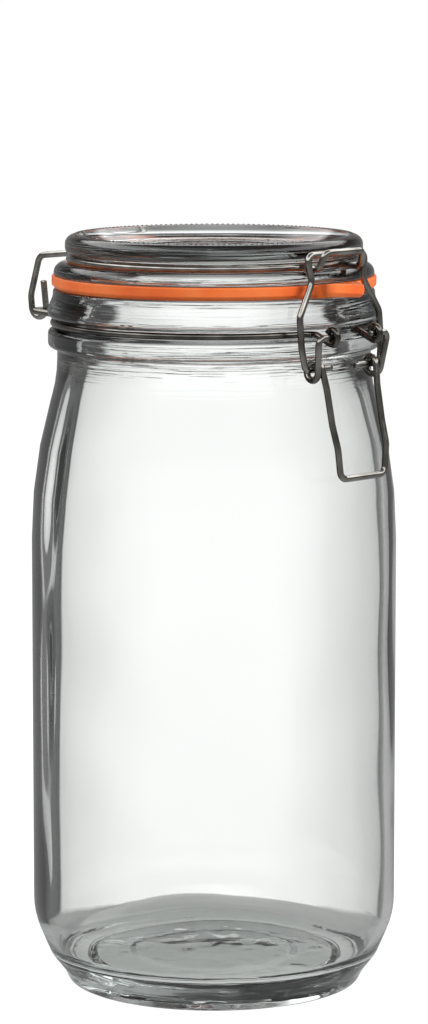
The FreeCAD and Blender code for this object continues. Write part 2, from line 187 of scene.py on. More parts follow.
def subdivided(points: np.ndarray, longest: float) -> np.ndarray:
    """The same line with its long runs cut into equal pieces.

    Args:
        points: The line's points.
        longest: The longest piece that is left whole.

    Returns:
        The line's points with those of the cuts.
    """
    lengths = np.linalg.norm(np.diff(points, axis=0), axis=1)
    real = lengths > 1e-5
    points = points[np.concatenate([[True], real])]
    cuts = np.maximum(1, np.ceil(lengths[real] / longest).astype(int))
    index = np.repeat(np.arange(len(cuts)), cuts)
    first = np.repeat(np.cumsum(cuts) - cuts, cuts)
    share = ((np.arange(len(index)) - first) / cuts[index])[:, None]
    inner = points[index] * (1 - share) + points[index + 1] * share
    return np.concatenate([inner, points[-1:]])


def make_object(name: str, points: np.ndarray, faces: Sequence[np.ndarray],
                smooth: bool = True) -> bpy.types.Object:
    """A mesh object at the origin, with its place in its mesh.

    Args:
        name: The object's name.
        points: Vertices in millimetres, one row each.
        faces: Arrays of vertex numbers, one row for each face.
        smooth: Whether the faces are shaded smooth.

    Returns:
        The new object, linked to the scene.
    """
    mesh = bpy.data.meshes.new(name)
    mesh.from_pydata((points * MM).tolist(), [], [face for group in faces for face in group.tolist()])
    mesh.polygons.foreach_set("use_smooth", np.full(len(mesh.polygons), smooth))
    mesh.validate()
    mesh.update()
    piece = bpy.data.objects.new(name, mesh)
    bpy.context.scene.collection.objects.link(piece)
    return piece


def grid_faces(rows: int, columns: int, close_rows: bool = False) -> np.ndarray:
    """Faces of a grid of vertices, numbered row by row. A row's last vertex joins its first.

    Args:
        rows: How many rows of vertices.
        columns: How many vertices in a row.
        close_rows: Whether the last row joins the first.

    Returns:
        One row of four vertex numbers for each face.
    """
    row = np.arange(rows if close_rows else rows - 1)[:, None]
    column = np.arange(columns)[None, :]
    below, beside = (row + 1) % rows, (column + 1) % columns
    quads = np.stack([row * columns + column, row * columns + beside,
                      below * columns + beside, below * columns + column], axis=-1)
    return quads.reshape(-1, 4)


def turned_surface(name: str, outline: np.ndarray, columns: int,
                   relief: Callable[[np.ndarray, np.ndarray], np.ndarray]) -> bpy.types.Object:
    """A closed surface turned about the jar's axis from an outline that starts and ends on it.

    A vertex is (r cos t, r sin t, z) for outline point (r, z) and column angle t, with the radius
    changed by the relief. The outline runs up the outside and back down the inside, so that faces
    point outward, and each end on the axis is one vertex.

    Args:
        name: The object's name.
        outline: Points (r, z) from axis to axis.
        columns: How many columns go round.
        relief: Gives the change of radius, one row for each outline point and one column for each
            angle, from the outline's points and the row of angles.

    Returns:
        The new object.
    """
    rim = outline[1:-1]
    angle = np.arange(columns)[None, :] * (2 * math.pi / columns)
    radius = rim[:, :1] + relief(rim, angle)
    height = np.broadcast_to(rim[:, 1:], radius.shape)
    vertices = np.stack([radius * np.cos(angle), radius * np.sin(angle), height], axis=-1)
    poles = np.array([[0, 0, outline[0, 1]], [0, 0, outline[-1, 1]]])
    count = radius.size
    column = np.arange(columns)
    beside = (column + 1) % columns
    last_row = count - columns
    first_fan = np.stack([np.full(columns, count), beside, column], axis=-1)
    last_fan = np.stack([np.full(columns, count + 1), last_row + column, last_row + beside], axis=-1)
    return make_object(name, np.concatenate([vertices.reshape(-1, 3), poles]),
                       [grid_faces(len(rim), columns), first_fan, last_fan])


def bent_tube(name: str, path: np.ndarray, radius: float, sides: int = 20) -> bpy.types.Object:
    """A round wire along a path, with flat ends whose edges are slightly rounded.

    At each point the wire's section is point + r (cos t * across + sin t * up), where across and up
    are carried along the path without twist: each is the last one less its part along the new
    direction. The vertices keep how far along and how far round they are in the attribute "drawn".

    Args:
        name: The object's name.
        path: The wire's middle line.
        radius: Half of its thickness.
        sides: Vertices round it.

    Returns:
        The new object.
    """
    path = subdivided(path, 1.5)
    direction = np.gradient(path, axis=0)
    direction /= np.linalg.norm(direction, axis=1)[:, None]
    guide = np.array([0.0, 0.0, 1.0]) if abs(direction[0, 2]) < 0.9 else np.array([0.0, 1.0, 0.0])
    across = np.empty_like(path)
    for index, ahead in enumerate(direction):
        guide = unit(guide - (guide @ ahead) * ahead)
        across[index] = guide
    up = np.cross(direction, across)
    along = np.concatenate([[0.0], np.cumsum(np.linalg.norm(np.diff(path, axis=0), axis=1))])
    # The rows of a rounded end: how far each lies from it, and its share of the radius.
    end_slide = np.array([0.0, 0.12, 0.35])
    end_share = np.array([0.62, 0.88, 1.0])
    last = len(path) - 1
    index = np.concatenate([np.zeros(3, int), np.arange(1, last), np.full(3, last)])
    slide = np.concatenate([end_slide, np.zeros(last - 1), -end_slide[::-1]])
    share = np.concatenate([end_share, np.ones(last - 1), end_share[::-1]])
    middle = path[index] + direction[index] * slide[:, None]
    angle = (np.arange(sides) * (2 * math.pi / sides))[None, :]
    one, two = np.cos(angle), np.sin(angle)
    section = one[..., None] * across[index][:, None, :] + two[..., None] * up[index][:, None, :]
    vertices = middle[:, None, :] + (share * radius)[:, None, None] * section
    rows = len(index)
    caps = [np.arange(sides)[::-1][None, :], (np.arange(sides) + (rows - 1) * sides)[None, :]]
    piece = make_object(name, vertices.reshape(-1, 3), [grid_faces(rows, sides)] + caps)
    drawn = np.stack(np.broadcast_arrays((along[index] + slide)[:, None], one * radius, two * radius),
                     axis=-1)
    layer = piece.data.attributes.new("drawn", "FLOAT_VECTOR", "POINT")
    layer.data.foreach_set("vector", drawn.reshape(-1))
    return piece


def mirrored_path(half: np.ndarray) -> np.ndarray:
    """A whole path from its half on the +X side, which starts on the plane x = 0."""
    return np.concatenate([half[:0:-1] * np.array([-1.0, 1.0, 1.0]), half])


def circle_part(centre: Sequence[float], radius: float, start: float, end: float, axes: tuple,
                count: int) -> np.ndarray:
    """Points centre + r (cos t * first axis + sin t * second axis) for t from start to end."""
    angle = np.linspace(start, end, count)[:, None]
    first, second = (np.array(axis, float) for axis in axes)
    return np.array(centre, float) + radius * (np.cos(angle) * first + np.sin(angle) * second)


def tangent_angle(centre: Sequence[float], radius: float, target: Sequence[float],
                  side: int) -> float:
    """Angle on a circle where a line from the target touches it, on the given side."""
    out, up = target[0] - centre[0], target[1] - centre[1]
    return math.atan2(up, out) + side * math.acos(radius / math.hypot(out, up))


def turned_from(angle: np.ndarray, degrees: float) -> np.ndarray:
    """The same angles counted from a turn in degrees, as -pi to pi."""
    return np.mod(angle - math.radians(degrees) + math.pi, 2 * math.pi) - math.pi


# ---- Finishes ----

def linear(colour: str) -> tuple[float, float, float, float]:
    """An sRGB hex colour as linear red, green, blue and alpha."""
    values = [int(colour[i:i + 2], 16) / 255 for i in (1, 3, 5)]
    spread = [v / 12.92 if v <= 0.04045 else ((v + 0.055) / 1.055) ** 2.4 for v in values]
    return spread[0], spread[1], spread[2], 1.0


def grey(value: float) -> tuple[float, float, float, float]:
    """A linear grey."""
    return value, value, value, 1.0


@dataclass(frozen=True)
class Nodes:
    """A node tree, with one way to add a node and short forms for the kinds that repeat."""

    tree: bpy.types.NodeTree

    def add(self, kind: str, settings: Optional[dict] = None, **links) -> bpy.types.Node:
        """Add a node with its settings, socket values and links.

        Args:
            kind: The node's type, without the ShaderNode before it.
            settings: Properties of the node, such as its operation.
            **links: Input sockets by name, with _ for a space, or as i0, i1 by number. A value is
                set on the socket, and an output socket is linked to it.

        Returns:
            The new node.
        """
        node = self.tree.nodes.new("ShaderNode" + kind)
        for key, value in (settings or {}).items():
            setattr(node, key, value)
        for key, value in links.items():
            numbered = key[0] == "i" and key[1:].isdigit()
            socket = node.inputs[int(key[1:]) if numbered else key.replace("_", " ")]
            if isinstance(value, Socket):
                self.tree.links.new(value, socket)
            else:
                socket.default_value = value
        return node

    def new(self, kind: str, settings: Optional[dict] = None, **links) -> Socket:
        """Add a node and give its first output."""
        return self.add(kind, settings, **links).outputs[0]

    def math(self, operation: str, *values) -> Socket:
        """A Math node's result for up to three sockets or numbers."""
        inputs = {f"i{place}": value for place, value in enumerate(values)}
        return self.new("Math", {"operation": operation}, **inputs)

    def mapped(self, value: Socket, low: float, high: float, to_low: float = 0.0,
               to_high: float = 1.0) -> Socket:
        """A value spread from the range low to high over the range to_low to to_high."""
        return self.new("MapRange", Value=value, i1=low, i2=high, i3=to_low, i4=to_high)

    def noise(self, place: Socket, scale: float, detail: float,
              roughness: float = 0.5, kind: str = "FBM") -> Socket:
        """A noise pattern from 0 to 1, with its scale in repeats for each unit of place."""
        return self.add("TexNoise", {"noise_type": kind}, Vector=place, Scale=scale,
                        Detail=detail, Roughness=roughness).outputs["Fac"]

    def bump(self, height: Socket, depth_mm: float, strength: float = 1.0,
             below: Optional[Socket] = None) -> Socket:
        """The normal of a bump of the given depth, laid over the bump below it, if any."""
        over = {"Normal": below} if below else {}
        return self.add("Bump", Strength=strength, Distance=depth_mm * MM,
                        Height=height, **over).outputs["Normal"]

    def mixed(self, share: float | Socket, first: object, second: object,
              blend: str = "MIX") -> Socket:
        """A colour between two others, or one laid on the other by a blend."""
        return self.add("Mix", {"data_type": "RGBA", "blend_type": blend},
                        i0=share, i6=first, i7=second).outputs[2]

    def ramp(self, value: Socket, stops: Sequence[tuple]) -> Socket:
        """A colour read from stops, each a place from 0 to 1 and a linear colour."""
        node = self.add("ValToRGB", Fac=value)
        ramp = node.color_ramp
        while len(ramp.elements) < len(stops):
            ramp.elements.new(0.5)
        for element, (place, colour) in zip(ramp.elements, stops):
            element.position = place
            element.color = colour
        return node.outputs["Color"]

    def grey_ramp(self, value: Socket, stops: Sequence[tuple]) -> Socket:
        """A grey read from stops, each a place from 0 to 1 and a linear strength."""
        return self.ramp(value, [(place, grey(strength)) for place, strength in stops])

    def place(self) -> Socket:
        """The place on the piece, in its own metres."""
        return self.add("TexCoord").outputs["Object"]

    def link(self, output: Socket, socket: Socket) -> None:
        """Join an output to an input."""
        self.tree.links.new(output, socket)


@dataclass(frozen=True)
class Finish:
    """A real material and how it was made. Each kind gives its own shaders."""

    name: str

    def shaders(self, nodes: Nodes) -> Shaders:
        """Add the material's nodes.

        Args:
            nodes: The material's node tree.

        Returns:
            The surface's shader, and the inside's, if any.
        """
        raise NotImplementedError

    def material(self) -> bpy.types.Material:
        """Build the material from its shaders."""
        material = bpy.data.materials.new(self.name)
        material.use_nodes = True
        material.node_tree.nodes.clear()
        nodes = Nodes(material.node_tree)
        output = nodes.add("OutputMaterial")
        surface, inside = self.shaders(nodes)
        nodes.link(surface, output.inputs["Surface"])
        if inside:
            nodes.link(inside, output.inputs["Volume"])
        return material


@dataclass(frozen=True)
class SodaLimeGlass(Finish):
    """Soda-lime glass, pressed or blown in a mould: clear, with a faint grey-green where it is thick.

    The mould and the cooling leave its faces slightly wavy, the turning of the neck leaves fine
    level streaks, and the cold foot of the mould leaves a crackled base. What passes along a wall
    is dimmed by the absorption inside it.
    """

    waves_mm: float
    wave_height_mm: float
    density_per_m: float
    streaks_from_mm: float
    streaks_fade_mm: float = 4.0
    streak_height_mm: float = 0.09
    streaks_per_m: tuple[float, float, float] = (22.0, 22.0, 900.0)
    crackle_below_mm: float = 0.0
    crackle_mm: float = 9.0
    crackle_height_mm: float = 0.5
    tint: str = "#95A8A6"
    face_tint: str = "#FDFEFD"
    shadow_tint: str = "#F2F5F3"
    ior: float = 1.515

    def normal(self, nodes: Nodes) -> Socket:
        """The faces' normal: the waves, with the streaks over them and the crackle over both."""
        place = nodes.place()
        level = nodes.add("SeparateXYZ", Vector=place).outputs["Z"]
        waves = nodes.noise(place, 1 / (self.waves_mm * MM), 1.0, 0.4)
        normal = nodes.bump(waves, self.wave_height_mm)
        level_place = nodes.new("Mapping", Vector=place, Scale=self.streaks_per_m)
        start = self.streaks_from_mm
        turned = nodes.mapped(level, (start - self.streaks_fade_mm) * MM, start * MM)
        streaks = nodes.math("MULTIPLY", nodes.noise(level_place, 1.0, 2.0), turned)
        normal = nodes.bump(streaks, self.streak_height_mm, below=normal)
        if self.crackle_below_mm:
            cold = nodes.mapped(level, 0.0, self.crackle_below_mm * MM, 1.0, 0.0)
            crackle = nodes.noise(place, 1 / (self.crackle_mm * MM), 3.0, 0.55, "RIDGED_MULTIFRACTAL")
            marks = nodes.math("MULTIPLY", crackle, cold)
            normal = nodes.bump(marks, self.crackle_height_mm, below=normal)
        return normal

    def shaders(self, nodes: Nodes) -> Shaders:
        """Glass that bends light, dims it inside and lets the lamps through."""
        glass = nodes.new("BsdfPrincipled", Base_Color=linear(self.face_tint), Roughness=0.0,
                          IOR=self.ior, Transmission_Weight=1.0, Normal=self.normal(nodes))
        clear = nodes.new("BsdfTransparent", Color=linear(self.shadow_tint))
        shadow = nodes.add("LightPath").outputs["Is Shadow Ray"]
        inside = nodes.new("VolumeAbsorption", Color=linear(self.tint), Density=self.density_per_m)
        return nodes.new("MixShader", i0=shadow, i1=glass, i2=clear), inside


@dataclass(frozen=True)
class StippledGlass(Finish):
    """The same glass, pressed with a punch of tiny points: rough, and painted dark grey, a painted
    shade for the dark look that the dots have before white.
    """

    # Dark grey colour: painted shade for the dark look of the clear dots before white.
    colour: str = "#4A504D"
    roughness: float = 0.3
    ior: float = 1.515

    def shaders(self, nodes: Nodes) -> Shaders:
        """Rough glass, painted dark grey, that keeps part of the light."""
        glass = nodes.new("BsdfPrincipled", Base_Color=linear(self.colour),
                          Roughness=self.roughness, IOR=self.ior, Transmission_Weight=0.6)
        return glass, None


@dataclass(frozen=True)
class DrawnSteel(Finish):
    """Tinned spring steel wire, drawn through a die: grey, with fine scratches that run along it.

    Its patterns read the attribute "drawn", which is in millimetres.
    """

    colour: str
    dull_colour: str
    scratch_mm: float = 0.16
    scratch_stretch: float = 0.04
    scratch_depth_mm: float = 0.02
    roughness: tuple[float, float] = (0.14, 0.24)
    patch_mm: float = 1 / 0.12

    def shaders(self, nodes: Nodes) -> Shaders:
        """Metal whose scratches and dull patches follow the wire."""
        drawn = nodes.add("Attribute", {"attribute_name": "drawn"}).outputs["Vector"]
        stretch = (self.scratch_stretch, 1.0, 1.0)
        stretched = nodes.new("Mapping", Vector=drawn, Scale=stretch)
        scratches = nodes.noise(stretched, 1 / self.scratch_mm, 3.0, 0.6)
        tone = nodes.ramp(nodes.noise(drawn, 1 / self.patch_mm, 2.0),
                          [(0.35, linear(self.dull_colour)), (0.65, linear(self.colour))])
        metal = nodes.new("BsdfPrincipled", Base_Color=tone, Metallic=1.0,
                          Roughness=nodes.mapped(scratches, 0.3, 0.7, *self.roughness),
                          Normal=nodes.bump(scratches, self.scratch_depth_mm, 0.12))
        return metal, None


@dataclass(frozen=True)
class MouldedRubber(Finish):
    """Natural rubber sheet, moulded and punched: orange, satin, with a fine grain and a dusty bloom."""

    colour: str = "#EE7432"
    deep_colour: str = "#E56025"
    bloom_colour: str = "#F2864A"
    cloud_mm: float = 14.0
    grain_mm: float = 0.35
    grain_depth_mm: float = 0.03
    roughness: tuple[float, float] = (0.34, 0.52)
    glow_mm: float = 1.0

    def shaders(self, nodes: Nodes) -> Shaders:
        """Satin rubber whose colour varies a little from place to place."""
        place = nodes.place()
        tone = nodes.ramp(nodes.noise(place, 1 / (self.cloud_mm * MM), 3.0),
                          [(0.3, linear(self.deep_colour)), (0.5, linear(self.colour)),
                           (0.8, linear(self.bloom_colour))])
        grain = nodes.noise(place, 1 / (self.grain_mm * MM), 2.0)
        rubber = nodes.new("BsdfPrincipled", Base_Color=tone,
                           Roughness=nodes.mapped(grain, 0.3, 0.7, *self.roughness),
                           Subsurface_Weight=0.15, Subsurface_Radius=(1.0, 0.35, 0.15),
                           Subsurface_Scale=self.glow_mm * MM,
                           Normal=nodes.bump(grain, self.grain_depth_mm, 0.3))
        return rubber, None


# ---- The jar and the lid ----

def finish_piece(piece: bpy.types.Object, material: bpy.types.Material, body: Body,
                 replaces: Optional[str]) -> None:
    """Give a piece its material and body, and report it.

    Args:
        piece: The finished object.
        material: Its only material.
        body: The body that it rides on.
        replaces: The CAD node that it stands for, if any.
    """
    piece.data.materials.clear()
    piece.data.materials.append(material)
    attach(piece, body.value)
    if replaces:
        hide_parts(replaces)
    LOG.info("%s: %d faces on %s", piece.name, len(piece.data.polygons), body.value)


@dataclass(frozen=True)
class Thickening:
    """A place where the blown wall came out thicker, seen from inside as a low soft swelling."""

    turn: float
    height: float
    half_turn: float
    half_height: float
    depth: float

    def swelling(self, height: np.ndarray, angle: np.ndarray) -> np.ndarray:
        """Depth * bell(angle) * bell(height), where bell(t) is e to the power of -(t / half size)^2."""
        around = np.exp(-(np.degrees(turned_from(angle, self.turn)) / self.half_turn) ** 2)
        return self.depth * around * np.exp(-((height - self.height) / self.half_height) ** 2)


@dataclass
class Jar:
    """The glass jar: foot, sloping heel, straight body, long shoulder, and a neck with two rings."""

    places: Places
    neck_wall: float = 6.2
    wall: float = 3.2
    foot_in: float = 11.1
    foot_round: float = 2.0
    foot_width: float = 5.5
    foot_top_in: float = 9.3
    foot_height: float = 3.7
    knee_in: float = 5.1
    knee_height: float = 9.1
    heel_height: float = 21.2
    punt_height: float = 5.2
    punt_radius: float = 24.0
    punt_drops: tuple[float, float, float] = (0.6, 1.8, 2.4)
    base_thickness: float = 4.8
    shoulder_below_rim: float = 55.1
    shoulder_setback: float = 21.8
    neck_corner_below_rim: float = 27.2
    neck_setback: float = 6.2
    inner_neck_up: float = 10.4
    groove_height: float = 2.5
    bead_height: float = 6.8
    bead_slope: float = 1.0
    bead_out: float = 2.8
    rim_slope: float = 0.9
    rim_bulge: float = 2.0
    rim_step: float = 4.2
    rim_out: float = 2.9
    lip_out: float = 1.2
    body_seam: float = -139.0
    neck_seam: float = -127.0
    seam_half_width: float = 0.4
    seam_proud: float = 0.12
    worn_seam_proud: float = 0.04
    columns: int = 256
    thick_places: tuple[Thickening, ...] = (
        Thickening(160, 160, 5, 26, 0.5),
        Thickening(126, 160, 8, 26, 0.7),
        Thickening(127, 126, 6, 12, 0.35),
        Thickening(157, 96, 5, 30, 0.25),
        Thickening(127, 84, 6, 24, 0.5),
        Thickening(126, 40, 7, 18, 0.6),
        Thickening(-52, 120, 8, 40, 0.3),
        Thickening(-44, 176, 9, 14, 0.5),
        Thickening(-150, 30, 14, 14, 0.25),
        Thickening(20, 70, 12, 40, -0.4),
        Thickening(-100, 110, 12, 45, -0.3),
    )

    def shoulder_slope(self) -> float:
        """How far the shoulder comes in for each millimetre up."""
        run = self.shoulder_below_rim - self.neck_corner_below_rim
        return (self.places.body_radius - self.places.neck_radius) / run

    def shoulder_radius(self, z: float) -> float:
        """Outside radius at a height on the body, the shoulder's curve or the shoulder's slope."""
        corner = self.places.rim - self.shoulder_below_rim
        turn = math.atan(self.shoulder_slope())
        curve = self.shoulder_setback / math.tan(turn / 2)
        rise = z - (corner - self.shoulder_setback)
        if rise <= 0:
            return self.places.body_radius
        if rise <= curve * math.sin(turn):
            return self.places.body_radius - curve + math.sqrt(curve**2 - rise**2)
        return self.places.body_radius - (z - corner) * self.shoulder_slope()

    def outline(self) -> np.ndarray:
        """Points (r, z) from the axis under the base, up outside, over the rim and down inside."""
        rim, body, neck = self.places.rim, self.places.body_radius, self.places.neck_radius
        shoulder_z = rim - self.shoulder_below_rim
        neck_z = rim - self.neck_corner_below_rim
        inner_z = neck_z + self.inner_neck_up
        half_turn = math.atan(self.shoulder_slope()) / 2
        mouth, inner = neck - self.neck_wall, body - self.wall
        inner_half_turn = math.atan((inner - mouth) / (inner_z - shoulder_z)) / 2
        groove_low = rim - self.places.groove_below_rim - self.groove_height / 2
        groove_high = groove_low + self.groove_height
        bead = groove_low - self.bead_height
        bulge = groove_high + self.rim_slope
        foot = body - self.foot_in
        hollow = foot - self.foot_width
        floor = self.punt_height + self.base_thickness
        heel_slope = self.knee_in / (self.heel_height - self.knee_height)
        inner_heel = inner - heel_slope * (self.heel_height - floor)
        corners = [
            ((0, self.punt_height), 0),
            ((self.punt_radius, self.punt_height - self.punt_drops[0]), 1.0),
            ((self.punt_radius + 2.0, self.punt_height - self.punt_drops[1]), 1.0),
            ((hollow - 2.5, self.punt_height - self.punt_drops[2]), 1.0),
            ((hollow, 0), 0.8),
            ((foot, 0), self.foot_round),
            ((body - self.foot_top_in, self.foot_height), 2.0),
            ((body - self.knee_in, self.knee_height), 8.0),
            ((body, self.heel_height), 23.5),
            ((body, shoulder_z), self.shoulder_setback / math.tan(half_turn)),
            ((neck, neck_z), self.neck_setback / math.tan(half_turn)),
            ((neck, bead), 0.8),
            ((neck + self.bead_out, bead + self.bead_slope), 1.6),
            ((neck + self.bead_out, groove_low - self.bead_slope), 1.4),
            ((neck, groove_low), 0.4),
            ((neck, groove_high), 0.4),
            ((neck + self.rim_out, bulge), 1.3),
            ((neck + self.rim_out, bulge + self.rim_bulge), 5.0),
            ((neck + self.lip_out, bulge + self.rim_bulge + self.rim_step), 5.0),
            ((neck + self.lip_out, rim), 1.0),
            ((mouth, rim), 1.5),
            ((mouth, inner_z), self.neck_setback / math.tan(inner_half_turn)),
            ((inner, shoulder_z), self.shoulder_setback / math.tan(inner_half_turn)),
            ((inner, self.heel_height), 20.0),
            ((inner_heel, floor), 6.0),
            ((0, floor), 0),
        ]
        return subdivided(rounded_line(corners, 6.0), 3.0)

    def relief(self, rim: np.ndarray, angle: np.ndarray) -> np.ndarray:
        """Change of radius: the blown inside is a little uneven, and mould seams stand proud outside.

        The inside is a sum of slow waves round and up the jar, less the thick places. A seam is a
        narrow bell curve round its own angle. One pair runs up the body and one up the neck's mould.

        Args:
            rim: The outline's points, a radius and a height each.
            angle: The columns' angles, as a row.

        Returns:
            Millimetres to add to each radius.
        """
        radius, height = rim[:, :1], rim[:, 1:]
        inside = (np.arange(len(rim)) > rim[:, 1].argmax())[:, None]
        waves = (0.07 * np.sin(2 * angle + height / 17) + 0.05 * np.sin(3 * angle - height / 11 + 1.3)
                 + 0.04 * np.sin(5 * angle + height / 7 + 0.4) + 0.05 * np.sin(height / 9 + 0.7))
        thick = sum(place.swelling(height, angle) for place in self.thick_places)
        grip = np.clip((radius - 12) / 20, 0, 1) * np.clip((self.places.rim - 12 - height) / 12, 0, 1)
        neck_mould = height > self.places.rim - self.neck_corner_below_rim
        seams = sum(np.exp(-(turned_from(angle, turn) * radius / self.seam_half_width) ** 2) * where
                    for seam, where in ((self.body_seam, ~neck_mould), (self.neck_seam, neck_mould))
                    for turn in (seam, seam + 180))
        sharp = neck_mould | (height < self.heel_height)
        proud = np.where(sharp, self.seam_proud, self.worn_seam_proud)
        proud = proud * (radius > self.punt_radius + 12)
        return np.where(inside, (waves - thick) * grip, seams * proud)

    def build(self, glass: bpy.types.Material) -> None:
        """Make the jar's glass in place of its CAD node."""
        piece = turned_surface("jar_glass", self.outline(), self.columns, self.relief)
        finish_piece(piece, glass, Body.JAR, "jar")


@dataclass
class Lid:
    """The glass lid: disc on the seal, waist, thick flange with a row of dots, and a dished top."""

    places: Places
    flange_in: float = 2.5
    flange_height: float = 5.85
    flange_land: float = 4.2
    disc_round: float = 3.2
    glass: float = 5.6
    plug_depth: float = 5.5
    plug_radius: float = 40.8
    plug_wall: float = 2.6
    dish_radius: float = 29.0
    dish_slope: float = 6.5
    dish_depth: float = 4.7
    dot_ring_radius: float = 42.4
    dot_pitch: float = 1.65
    dot_radius: float = 0.5
    dot_rise: float = 0.4
    dot_sides: int = 8
    dot_rows: int = 3
    columns: int = 256

    def outline(self) -> np.ndarray:
        """Points (r, z) from the axis under the lid, out round its edge and back over the top."""
        top, bottom = self.places.lid_top, self.places.lid_bottom
        disc, disc_top = self.places.disc_radius, bottom + self.places.lid_disc_height
        waist = self.places.neck_radius - self.places.lid_waist_in
        flange = self.places.neck_radius - self.flange_in
        flange_low = top - self.flange_height
        dish = top - self.dish_depth
        under = dish - self.glass
        plug_inner, plug_low = self.plug_radius - self.plug_wall, bottom - self.plug_depth
        bull = self.flange_height / 2 - 0.05
        corners = [
            ((0, under), 0),
            ((plug_inner - 1.0, under), 2.5),
            ((plug_inner, plug_low), 0.9),
            ((self.plug_radius, plug_low), 0.9),
            ((self.plug_radius, bottom), 0.4),
            ((disc, bottom), 0.6),
            ((disc, disc_top), self.disc_round),
            ((waist, disc_top), 0.3),
            ((waist, flange_low), 0.3),
            ((flange, flange_low), min(bull, flange - waist - 0.4)),
            ((flange, top), bull),
            ((flange - self.flange_land, top), 1.2),
            ((self.dish_radius + self.dish_slope, dish + 0.9), 3.0),
            ((self.dish_radius, dish + 0.5), 0.6),
            ((self.dish_radius - 0.7, dish), 0.6),
            ((0, dish), 0),
        ]
        return subdivided(rounded_line(corners, 6.0), 2.5)

    def relief(self, rim: np.ndarray, angle: np.ndarray) -> np.ndarray:
        """A slow unevenness of the pressed glass, none near the middle: a sum of two waves."""
        radius, height = rim[:, :1], rim[:, 1:]
        waves = 0.03 * np.sin(3 * angle + height / 3) + 0.02 * np.sin(7 * angle - height / 2 + 1.0)
        return waves * np.clip((radius - 15) / 20, 0, 1)

    def build_dots(self, glass: bpy.types.Material) -> None:
        """Make the row of small raised dots on the flange.

        A dot is a low dome: its point at share s of the way from the top to the edge has radius
        r sin(s * 90 degrees) and height h cos(s * 90 degrees), and its lowest quarter is sunk.
        """
        sides, rows = self.dot_sides, self.dot_rows
        count = round(2 * math.pi * self.dot_ring_radius / self.dot_pitch)
        low = self.places.lid_top - 0.02 - self.dot_rise / 4
        share = (np.arange(1, rows + 1) / rows * (math.pi / 2))[:, None]
        angle = (np.arange(sides) * (2 * math.pi / sides))[None, :]
        dome = np.stack(np.broadcast_arrays(
            self.dot_ring_radius + self.dot_radius * np.sin(share) * np.cos(angle),
            self.dot_radius * np.sin(share) * np.sin(angle),
            low + self.dot_rise * np.cos(share)), axis=-1).reshape(-1, 3)
        dot = np.concatenate([dome, [[self.dot_ring_radius, 0.0, low + self.dot_rise]]])
        turn = (np.arange(count) * (2 * math.pi / count))[:, None]
        points = np.stack(np.broadcast_arrays(
            dot[:, 0] * np.cos(turn) - dot[:, 1] * np.sin(turn),
            dot[:, 0] * np.sin(turn) + dot[:, 1] * np.cos(turn),
            dot[:, 2]), axis=-1)
        side = np.arange(sides)
        fan = np.stack([np.full(sides, rows * sides), side, (side + 1) % sides], axis=-1)
        under = ((rows - 1) * sides + side[::-1])[None, :]
        first = (np.arange(count) * len(dot))[:, None, None]
        faces = [(group[None] + first).reshape(-1, group.shape[1])
                 for group in (grid_faces(rows, sides)[:, ::-1], fan, under)]
        piece = make_object("lid_dots", points.reshape(-1, 3), faces)
        finish_piece(piece, glass, Body.LID, None)

    def build(self, glass: bpy.types.Material, painted_dark_stipple_glass: bpy.types.Material) -> None:
        """Make the lid's glass in place of its CAD node, and its dots."""
        piece = turned_surface("lid_glass", self.outline(), self.columns, self.relief)
        finish_piece(piece, glass, Body.LID, "lid")
        self.build_dots(painted_dark_stipple_glass)


